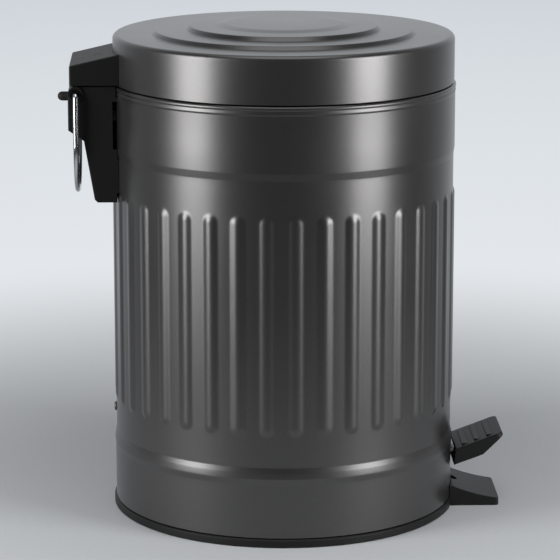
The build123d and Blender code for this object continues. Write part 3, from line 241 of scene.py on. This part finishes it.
def make_piece(name, mesh, material, body, stands_for=None):
    """Puts a mesh in the scene as a piece that rides on a body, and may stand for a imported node."""
    mesh.materials.append(material)
    piece = bpy.data.objects.new(name, mesh)
    bpy.context.scene.collection.objects.link(piece)
    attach(piece, body)
    if stands_for:
        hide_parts(stands_for)


def lathe(name, path, angles, push=None):
    """A closed path of (radius, height) points turned about the bin's axis. push moves a point out."""
    rings = len(path)
    vertices = []
    for angle in angles:
        for radius, height in path:
            out = radius + (push(angle, height) if push else 0)
            vertices.append((out * cos(angle) * MM, out * sin(angle) * MM, height * MM))
    faces = []
    columns = len(angles)
    for column in range(columns):
        here = column * rings
        there = (column + 1) % columns * rings
        for row in range(rings):
            above = (row + 1) % rings
            faces.append((here + row, there + row, there + above, here + above))
    mesh = bpy.data.meshes.new(name)
    mesh.from_pydata(vertices, [], faces)
    return mesh


def weld(path):
    """A closed path without the points that stand on the one before."""
    kept = []
    for point in path:
        if not kept or hypot(point[0] - kept[-1][0], point[1] - kept[-1][1]) > WELD:
            kept.append(point)
    return kept


def finish_mesh(mesh):
    """Turns the faces outwards and shades them smooth, with the sharp edges left crisp."""
    form = bmesh.new()
    form.from_mesh(mesh)
    bmesh.ops.recalc_face_normals(form, faces=form.faces)
    form.to_mesh(mesh)
    form.free()
    mesh.shade_smooth()
    mesh.set_sharp_from_angle(angle=CREASE)


# Body: one closed ring of sheet, with the beads pressed out of both of its sides


def bead_push(angle, height):
    """How far the pressed beads stand out at a direction and height."""
    pitch = 2 * pi / BEAD_COUNT
    off = (angle - BEAD_PHASE + pitch / 2) % pitch - pitch / 2
    low = BEAD_RANGE[0] + BEAD_HALF_WIDTH
    high = BEAD_RANGE[1] - BEAD_HALF_WIDTH
    beyond = max(low - height, height - high, 0)
    away = hypot(off * BODY_RADIUS, beyond) / BEAD_HALF_WIDTH
    return BEAD_HEIGHT * (1 - away**2) ** 2 * (1 + away**2 / 2) if away < 1 else 0


def snapped(angles, wanted):
    """The angles, with the nearest one moved onto each wanted direction."""
    moved = list(angles)
    for target in wanted:
        nearest = min(range(len(moved)), key=lambda index: abs(moved[index] - target))
        moved[nearest] = target
    return moved


def bead_rows():
    """Heights in the beaded zone: close together at the beads' round ends."""
    ends = []
    reach = 2 * BEAD_HALF_WIDTH
    for base in (BEAD_RANGE[0] - BEAD_MARGIN, BEAD_RANGE[1] + BEAD_MARGIN - reach):
        ends += [base + reach * step / BEAD_END_ROWS for step in range(BEAD_END_ROWS + 1)]
    first, last = ends[BEAD_END_ROWS], ends[BEAD_END_ROWS + 1]
    middle = [first + (last - first) * step / BEAD_MIDDLE_ROWS for step in range(1, BEAD_MIDDLE_ROWS)]
    return sorted(ends + middle)


def wall(inset):
    """One side of the body's wall, from its lower edge to the rolled rim, as a rounded path."""
    low, up = LOWER_BAND_RADIUS - inset, UPPER_BAND_RADIUS - inset
    plain = BODY_RADIUS - inset
    foot, crest, end, top = LOWER_STEP
    path = rounded(
        [
            (low, BODY_BOTTOM, 0),
            (low, PEDAL_SLOT[0], 0),
            (low, PEDAL_SLOT[1], 0),
            (low, foot, LOWER_BEND),
            (low + LOWER_BEAD_RISE, crest, LOWER_BEND),
            (low, end, LOWER_END_BEND),
            (plain, top, STEP_BLEND),
            (plain, PLAIN_WALL[0], 0),
        ]
    )
    path += [(plain, height) for height in bead_rows()]
    path += rounded(
        [
            (plain, PLAIN_WALL[1], 0),
            (plain, ROD_SLOT[0], 0),
            (plain, UPPER_STEP[0], STEP_BLEND),
            (up, UPPER_STEP[1], STEP_BLEND),
            (up, ROD_SLOT[1], 0),
            (up, NECK_BEAD[0], NECK_BEND),
            (up + NECK_BEAD_RISE, NECK_BEAD[1], NECK_BEND),
            (up, NECK_BEAD[2], 0),
        ]
    )
    return path


def roll():
    """The rolled rim in section, from the wall's outside round to its inside."""
    reach, height = ROLL_CENTRE
    angles = [ROLL_START + ROLL_TURN * step / ROLL_STEPS for step in range(ROLL_STEPS + 1)]
    return [(reach + ROLL_RADIUS * cos(angle), height + ROLL_RADIUS * sin(angle)) for angle in angles]


def open_slot(form, direction, half_width, heights):
    """Cuts a slot through both sides of the wall and closes its edge with the sheet's thickness."""
    across = Vector((-sin(direction), cos(direction)))
    out = Vector((cos(direction), sin(direction)))
    gone = []
    for face in form.faces:
        middle = face.calc_center_median() / MM
        flat = Vector((middle.x, middle.y))
        beside = abs(flat.dot(across)) < half_width and flat.dot(out) > 0
        if beside and heights[0] < middle.z < heights[1]:
            gone.append(face)
    bmesh.ops.delete(form, geom=gone, context="FACES")
    edges = [edge for edge in form.edges if edge.is_boundary]
    bmesh.ops.bridge_loops(form, edges=edges)


def make_shell(material):
    """The body's mesh, with the slots for the pedal and for the push rod."""
    columns = BEAD_COUNT * COLUMNS_PER_BEAD
    front, back = 1.5 * pi, 0.5 * pi
    pedal_side = PEDAL_SLOT_HALF_WIDTH / LOWER_BAND_RADIUS
    rod_side = ROD_SLOT_HALF_WIDTH / UPPER_BAND_RADIUS
    angles = snapped(
        [2 * pi * column / columns for column in range(columns)],
        [front - pedal_side, front + pedal_side, back - rod_side, back + rod_side],
    )
    path = weld(wall(0) + roll() + wall(BODY_SHEET)[::-1])
    mesh = lathe("shell_sheet", path, angles, bead_push)
    form = bmesh.new()
    form.from_mesh(mesh)
    open_slot(form, front, PEDAL_SLOT_HALF_WIDTH, PEDAL_SLOT)
    open_slot(form, back, ROD_SLOT_HALF_WIDTH, ROD_SLOT)
    form.to_mesh(mesh)
    form.free()
    finish_mesh(mesh)
    make_piece("shell_sheet", mesh, material, "can", "shell")


def lid_path(inset):
    """One side of the pressed lid, from its middle to the skirt's edge."""
    outer_top = LID_TOP + OUTER_RING[2] - inset
    inner_top = outer_top + INNER_RING[2]
    crown_top = inner_top + CROWN[2]
    return rounded(
        [
            (0.0, crown_top, 0),
            (CROWN[1] - inset, crown_top, CROWN_BEND),
            (CROWN[0] - inset, inner_top, CROWN_BEND),
            (INNER_RING[1] - inset, inner_top, RING_EDGE - inset / 2),
            (INNER_RING[0] - inset, outer_top, RING_FOOT + inset),
            (OUTER_RING[1] - inset, outer_top, RING_EDGE - inset / 2),
            (OUTER_RING[0] - inset, LID_TOP - inset, RING_FOOT + inset),
            (LID_RADIUS - inset, LID_TOP - inset, LID_CORNER - inset),
            (LID_RADIUS - inset, LID_BOTTOM, 0),
        ]
    )


def make_lid(material):
    """The pressed lid, closed at its edge by the sheet's thickness."""
    angles = [2 * pi * column / LID_COLUMNS for column in range(LID_COLUMNS)]
    mesh = lathe("lid_pressing", weld(lid_path(0) + lid_path(LID_SHEET)[::-1]), angles)
    form = bmesh.new()
    form.from_mesh(mesh)
    bmesh.ops.remove_doubles(form, verts=form.verts, dist=MERGE * MM)
    loose = [edge for edge in form.edges if not edge.link_faces]
    bmesh.ops.delete(form, geom=loose, context="EDGES")
    form.to_mesh(mesh)
    form.free()
    finish_mesh(mesh)
    make_piece("lid_pressing", mesh, material, "lid", "lid_cover")


def make_handle(material):
    """The wire handle: one bent wire that hangs in the ears of the housing."""
    path = rounded(
        [
            (HANDLE_TIP, HINGE_HEIGHT, 0),
            (HANDLE_SIDE, HINGE_HEIGHT, HANDLE_BEND),
            (HANDLE_SIDE, HANDLE_LOW, HANDLE_ARC),
            (-HANDLE_SIDE, HANDLE_LOW, HANDLE_ARC),
            (-HANDLE_SIDE, HINGE_HEIGHT, HANDLE_BEND),
            (-HANDLE_TIP, HINGE_HEIGHT, 0),
        ]
    )
    curve = bpy.data.curves.new("handle_wire", "CURVE")
    curve.dimensions = "3D"
    curve.bevel_depth = HANDLE_WIRE_RADIUS * MM
    curve.bevel_resolution = HANDLE_FACETS
    curve.use_fill_caps = True
    spline = curve.splines.new("POLY")
    spline.points.add(len(path) - 1)
    for point, (across, height) in zip(spline.points, path):
        point.co = (across * MM, HINGE_REACH * MM, height * MM, 1)
    make_piece("handle_wire", curve, material, "handle", "carry_handle")


def tread_point(across, along, rise):
    """A point on the pedal: across the tread, along its slope from the root, and square above it."""
    reach = TREAD_ROOT[0] + along * cos(TREAD_SLOPE) - rise * sin(TREAD_SLOPE)
    height = TREAD_ROOT[1] + along * sin(TREAD_SLOPE) + rise * cos(TREAD_SLOPE)
    return Vector((across, -reach, height)) * MM


def make_tread_ribs(material):
    """The wedges that grip the shoe: high at the root side, level with the tread at the far edge."""
    form = bmesh.new()
    for rib in range(RIB_COUNT):
        near = RIB_START + rib * RIB_PITCH
        far = near + RIB_LENGTH
        section = ((near, -RIB_SINK[0]), (near, RIB_RISE), (far, 0.0), (far, -RIB_SINK[1]))
        ends = [
            [form.verts.new(tread_point(side * RIB_HALF_WIDTH, along, rise)) for along, rise in section]
            for side in (-1, 1)
        ]
        form.faces.new(ends[0])
        form.faces.new(ends[1][::-1])
        for index in range(len(section)):
            follow = (index + 1) % len(section)
            form.faces.new((ends[0][follow], ends[0][index], ends[1][index], ends[1][follow]))
    bmesh.ops.recalc_face_normals(form, faces=form.faces)
    bmesh.ops.bevel(
        form,
        geom=form.edges[:],
        offset=RIB_EDGE * MM,
        segments=2,
        profile=0.5,
        affect="EDGES",
        clamp_overlap=True,
    )
    mesh = bpy.data.meshes.new("tread_ribs")
    form.to_mesh(mesh)
    form.free()
    make_piece("tread_ribs", mesh, material, "pedal")


# Materials


def stoved_lacquer():
    """Metallic lacquer stoved on steel: a satin grey with a fine flake and a trace of orange peel."""
    material, tree = start_material("stoved_metallic_lacquer")
    place = add_node(tree, "ShaderNodeTexCoord").outputs["Object"]
    flake = add_node(tree, "ShaderNodeTexNoise", {"Vector": place, "Scale": 1 / (FLAKE * MM)})
    colour = add_node(
        tree,
        "ShaderNodeMix",
        {0: flake.outputs[0], 6: linear(PAINT_DARK), 7: linear(PAINT_LIGHT)},
        data_type="RGBA",
    )
    cloud = add_node(tree, "ShaderNodeTexNoise", {"Vector": place, "Scale": 1 / (CLOUD * MM)})
    satin = add_node(
        tree,
        "ShaderNodeMapRange",
        {"Value": cloud.outputs[0], "To Min": PAINT_ROUGHNESS[0], "To Max": PAINT_ROUGHNESS[1]},
    )
    peel = add_node(tree, "ShaderNodeTexNoise", {"Vector": place, "Scale": 1 / (PEEL * MM)})
    bump = add_node(
        tree,
        "ShaderNodeBump",
        {"Height": peel.outputs[0], "Strength": PEEL_STRENGTH, "Distance": PEEL_DEPTH * MM},
    )
    shader = add_node(
        tree,
        "ShaderNodeBsdfPrincipled",
        {
            "Base Color": colour.outputs[2],
            "Metallic": PAINT_METALLIC,
            "Roughness": satin.outputs[0],
            "Coat Weight": COAT,
            "Coat Roughness": COAT_ROUGHNESS,
            "Normal": bump.outputs[0],
        },
    )
    finish_material(tree, shader)
    return material


def moulding(name, dark, light, roughness, grain, relief, edge, ior=1.49):
    """A moulded piece: a fine spark-eroded grain, and edges as soft as the mould leaves them."""
    material, tree = start_material(name)
    place = add_node(tree, "ShaderNodeTexCoord").outputs["Object"]
    texture = add_node(
        tree, "ShaderNodeTexNoise", {"Vector": place, "Scale": 1 / (grain * MM), "Detail": GRAIN_DETAIL}
    )
    colour = add_node(
        tree, "ShaderNodeMix", {0: texture.outputs[0], 6: linear(dark), 7: linear(light)}, data_type="RGBA"
    )
    gloss = add_node(
        tree,
        "ShaderNodeMapRange",
        {"Value": texture.outputs[0], "To Min": roughness[0], "To Max": roughness[1]},
    )
    soft_edge = add_node(tree, "ShaderNodeBevel", {"Radius": edge * MM}, samples=EDGE_SAMPLES)
    bump = add_node(
        tree,
        "ShaderNodeBump",
        {
            "Height": texture.outputs[0],
            "Strength": GRAIN_STRENGTH,
            "Distance": relief * MM,
            "Normal": soft_edge.outputs[0],
        },
    )
    shader = add_node(
        tree,
        "ShaderNodeBsdfPrincipled",
        {
            "Base Color": colour.outputs[2],
            "Roughness": gloss.outputs[0],
            "IOR": ior,
            "Specular IOR Level": MOULDED_SPECULAR,
            "Normal": bump.outputs[0],
        },
    )
    finish_material(tree, shader)
    return material


def plated_steel(name, dark, light, roughness, cell):
    """Plated steel: a metal whose crystals or polish marks change its tone and gloss a little."""
    material, tree = start_material(name)
    place = add_node(tree, "ShaderNodeTexCoord").outputs["Object"]
    cells = add_node(tree, "ShaderNodeTexVoronoi", {"Vector": place, "Scale": 1 / (cell * MM)})
    tone = add_node(tree, "ShaderNodeSeparateColor", {"Color": cells.outputs["Color"]})
    colour = add_node(
        tree, "ShaderNodeMix", {0: tone.outputs[0], 6: linear(dark), 7: linear(light)}, data_type="RGBA"
    )
    gloss = add_node(
        tree,
        "ShaderNodeMapRange",
        {"Value": tone.outputs[1], "To Min": roughness[0], "To Max": roughness[1]},
    )
    shader = add_node(
        tree,
        "ShaderNodeBsdfPrincipled",
        {"Base Color": colour.outputs[2], "Metallic": 1.0, "Roughness": gloss.outputs[0]},
    )
    finish_material(tree, shader)
    return material


def room(tree, direction, pale):
    """The wall's colour, pale behind the bin and dimmer elsewhere, and the share of rays that see it."""
    axes = add_node(tree, "ShaderNodeSeparateXYZ", {"Vector": direction})
    side = add_node(
        tree,
        "ShaderNodeMapRange",
        {"Value": axes.outputs["X"], "From Min": WALL_SPAN[0], "From Max": WALL_SPAN[1]},
    )
    ray = add_node(tree, "ShaderNodeLightPath")
    lit = add_node(
        tree, "ShaderNodeMath", {0: side.outputs[0], 1: ray.outputs["Is Camera Ray"]}, operation="MAXIMUM"
    )
    colour = add_node(
        tree, "ShaderNodeMix", {0: lit.outputs[0], 6: linear(ROOM_DIM), 7: pale}, data_type="RGBA"
    )
    shown = add_node(
        tree,
        "ShaderNodeMath",
        {0: ray.outputs["Is Camera Ray"], 1: ray.outputs["Is Glossy Ray"]},
        operation="MAXIMUM",
    )
    seen = add_node(
        tree,
        "ShaderNodeMath",
        {0: shown.outputs[0], 1: ray.outputs["Is Transmission Ray"]},
        operation="MAXIMUM",
    )
    return colour.outputs[2], seen.outputs[0]


def studio_paper():
    """Seamless paper, pale and matt, that takes the wall's colour once it is away from the bin."""
    material, tree = start_material("studio_paper")
    place = add_node(tree, "ShaderNodeTexCoord").outputs["Object"]
    fibre = add_node(tree, "ShaderNodeTexNoise", {"Vector": place, "Scale": 1 / (PAPER_FIBRE * MM)})
    colour = add_node(
        tree,
        "ShaderNodeMix",
        {0: fibre.outputs[0], 6: linear(PAPER_DARK), 7: linear(PAPER_LIGHT)},
        data_type="RGBA",
    )
    paper = add_node(
        tree, "ShaderNodeBsdfPrincipled", {"Base Color": colour.outputs[2], "Roughness": PAPER_ROUGHNESS}
    )
    distance = add_node(tree, "ShaderNodeVectorMath", {0: place}, operation="LENGTH").outputs["Value"]
    away = add_node(
        tree, "ShaderNodeMapRange", {"Value": distance, "From Min": WALL_FADE[0], "From Max": WALL_FADE[1]}
    )
    pale = add_node(
        tree,
        "ShaderNodeMix",
        {0: away.outputs[0], 6: linear(WALL_PALE), 7: linear(WALL_FAR)},
        data_type="RGBA",
    )
    direction = add_node(tree, "ShaderNodeVectorMath", {0: place}, operation="NORMALIZE")
    wall_colour, seen = room(tree, direction.outputs["Vector"], pale.outputs[2])
    far = add_node(
        tree,
        "ShaderNodeMapRange",
        {"Value": distance, "From Min": FLOOR_FADE[0], "From Max": FLOOR_FADE[1]},
        interpolation_type="SMOOTHSTEP",
    )
    share = add_node(tree, "ShaderNodeMath", {0: far.outputs[0], 1: seen}, operation="MULTIPLY")
    glow = add_node(tree, "ShaderNodeEmission", {"Color": wall_colour})
    mixed = add_node(
        tree, "ShaderNodeMixShader", {0: share.outputs[0], 1: paper.outputs[0], 2: glow.outputs[0]}
    )
    finish_material(tree, mixed)
    return material


# Lacquer, sprayed and stoved on the body and the lid alike
lacquer = stoved_lacquer()
# Polypropylene with a spark-eroded grain: black, with a soft grey sheen where light grazes it
polypropylene = moulding(
    "black_polypropylene", "#0a0a0a", "#101010", roughness=(0.42, 0.56), grain=0.5, relief=0.02, edge=0.5
)
# The liner's polypropylene is smoother, because its mould is only polished
liner = moulding(
    "liner_polypropylene", "#1c1d1f", "#222325", roughness=(0.34, 0.42), grain=1.2, relief=0.01, edge=0.5
)
# Natural nylon is milky and a little waxy
nylon = moulding(
    "natural_nylon", "#cfccbe", "#dcd9cc", roughness=(0.40, 0.50), grain=1.0, relief=0.01, edge=0.3, ior=1.53
)
# Nitrile rubber is matt and a shade browner than the plastic
rubber = moulding(
    "nitrile_rubber", "#161514", "#1e1c1b", roughness=(0.62, 0.75), grain=0.6, relief=0.02, edge=0.3, ior=1.52
)
# Bright chrome over nickel: nearly a mirror, faintly blue
chrome = plated_steel("bright_chrome", "#c3c6ca", "#cfd2d6", roughness=(0.07, 0.12), cell=SPANGLE)
# Zinc plate: grey, with a dull gleam that changes from crystal to crystal
zinc = plated_steel("zinc_plate", "#94948f", "#aeada8", roughness=(0.30, 0.44), cell=SPANGLE)

dressings = {
    lacquer: ("guide_rivets",),
    polypropylene: ("base_ring", "front_foot", "hinge_bracket", "lid_arm", "pedal_cap"),
    liner: ("bucket", "bucket_grip"),
    nylon: ("rod_guides",),
    rubber: ("lid_stop_bumper",),
    zinc: (
        "base_ring_screws",
        "bottom_plate",
        "bracket_backing_plate",
        "bracket_screws",
        "bucket_bail",
        "front_foot_screws",
        "hinge_pin",
        "lever_bracket",
        "lever_bracket_rivets",
        "lever_pin",
        "lever_pin_clips",
        "lid_backing_plate",
        "lid_screws",
        "pedal_cap_screws",
        "pedal_lever",
        "push_rod",
        "rod_end_clip",
    ),
}
for finish, names in dressings.items():
    for name in names:
        for material_slot in nodes[name].material_slots:
            material_slot.material = finish

make_shell(lacquer)
make_lid(lacquer)
make_handle(chrome)
make_tread_ribs(polypropylene)

# Studio


def add_softbox(name, turn, distance, height, size, power):
    """A lamp that faces the bin, at a turn from the camera's own direction."""
    lamp_data = bpy.data.lights.new(name, "AREA")
    lamp_data.shape = "RECTANGLE"
    lamp_data.size, lamp_data.size_y = size
    lamp_data.energy = power
    lamp = bpy.data.objects.new(name, lamp_data)
    bearing = pi - CAMERA_TURN + turn
    lamp.location = (distance * cos(bearing), distance * sin(bearing), height)
    aim = Vector((0, 0, AIM_HEIGHT)) - lamp.location
    lamp.rotation_euler = aim.to_track_quat("-Z", "Y").to_euler()
    lamp.visible_camera = False
    bpy.context.scene.collection.objects.link(lamp)


def light_world():
    """A room with a pale wall behind the bin and a dimmer side towards the camera."""
    world = bpy.data.worlds.new("studio")
    bpy.context.scene.world = world
    world.use_nodes = True
    tree = world.node_tree
    tree.nodes.clear()
    direction = add_node(tree, "ShaderNodeTexCoord").outputs["Generated"]
    wall_colour, seen = room(tree, direction, linear(WALL_PALE))
    strength = add_node(tree, "ShaderNodeMapRange", {"Value": seen, "To Min": FILL_STRENGTH})
    background = add_node(
        tree, "ShaderNodeBackground", {"Color": wall_colour, "Strength": strength.outputs[0]}
    )
    add_node(tree, "ShaderNodeOutputWorld", {"Surface": background.outputs[0]})


def lay_floor(material):
    """A wide round floor, so that its edge stays far off in every view."""
    form = bmesh.new()
    bmesh.ops.create_circle(form, cap_ends=True, segments=FLOOR_SIDES, radius=FLOOR_RADIUS)
    mesh = bpy.data.meshes.new("floor")
    form.to_mesh(mesh)
    form.free()
    mesh.materials.append(material)
    floor = bpy.data.objects.new("floor", mesh)
    floor.location.z = -FLOOR_DROP
    bpy.context.scene.collection.objects.link(floor)


def set_camera():
    """The photograph's camera, level with its own horizon and above the bin."""
    away = Vector((cos(CAMERA_TURN), -sin(CAMERA_TURN), 0))
    right = Vector((-sin(CAMERA_TURN), -cos(CAMERA_TURN), 0))
    up = Vector((0, 0, 1))
    camera_data = bpy.data.cameras.new("camera")
    camera_data.sensor_width = SENSOR
    camera_data.lens = FOCAL_PIXELS * SENSOR / FRAME_PIXELS
    camera = bpy.data.objects.new("camera", camera_data)
    camera.location = (right * CAMERA_SIDE + up * CAMERA_HEIGHT - away * CAMERA_DISTANCE) * MM
    aim = away * cos(CAMERA_PITCH) - up * sin(CAMERA_PITCH)
    camera.rotation_euler = aim.to_track_quat("-Z", "Y").to_euler()
    bpy.context.scene.collection.objects.link(camera)
    bpy.context.scene.camera = camera


lay_floor(studio_paper())
light_world()
for name, turn in (("softbox_hinge_side", HINGE_SIDE_TURN), ("softbox_pedal_side", PEDAL_SIDE_TURN)):
    add_softbox(name, turn, SOFTBOX_DISTANCE, SOFTBOX_HEIGHT, SOFTBOX_SIZE, SOFTBOX_POWER)
add_softbox("softbox_overhead", 0, OVERHEAD_DISTANCE, OVERHEAD_HEIGHT, OVERHEAD_SIZE, OVERHEAD_POWER)
set_camera()
bpy.context.scene.view_settings.view_transform = "Standard"
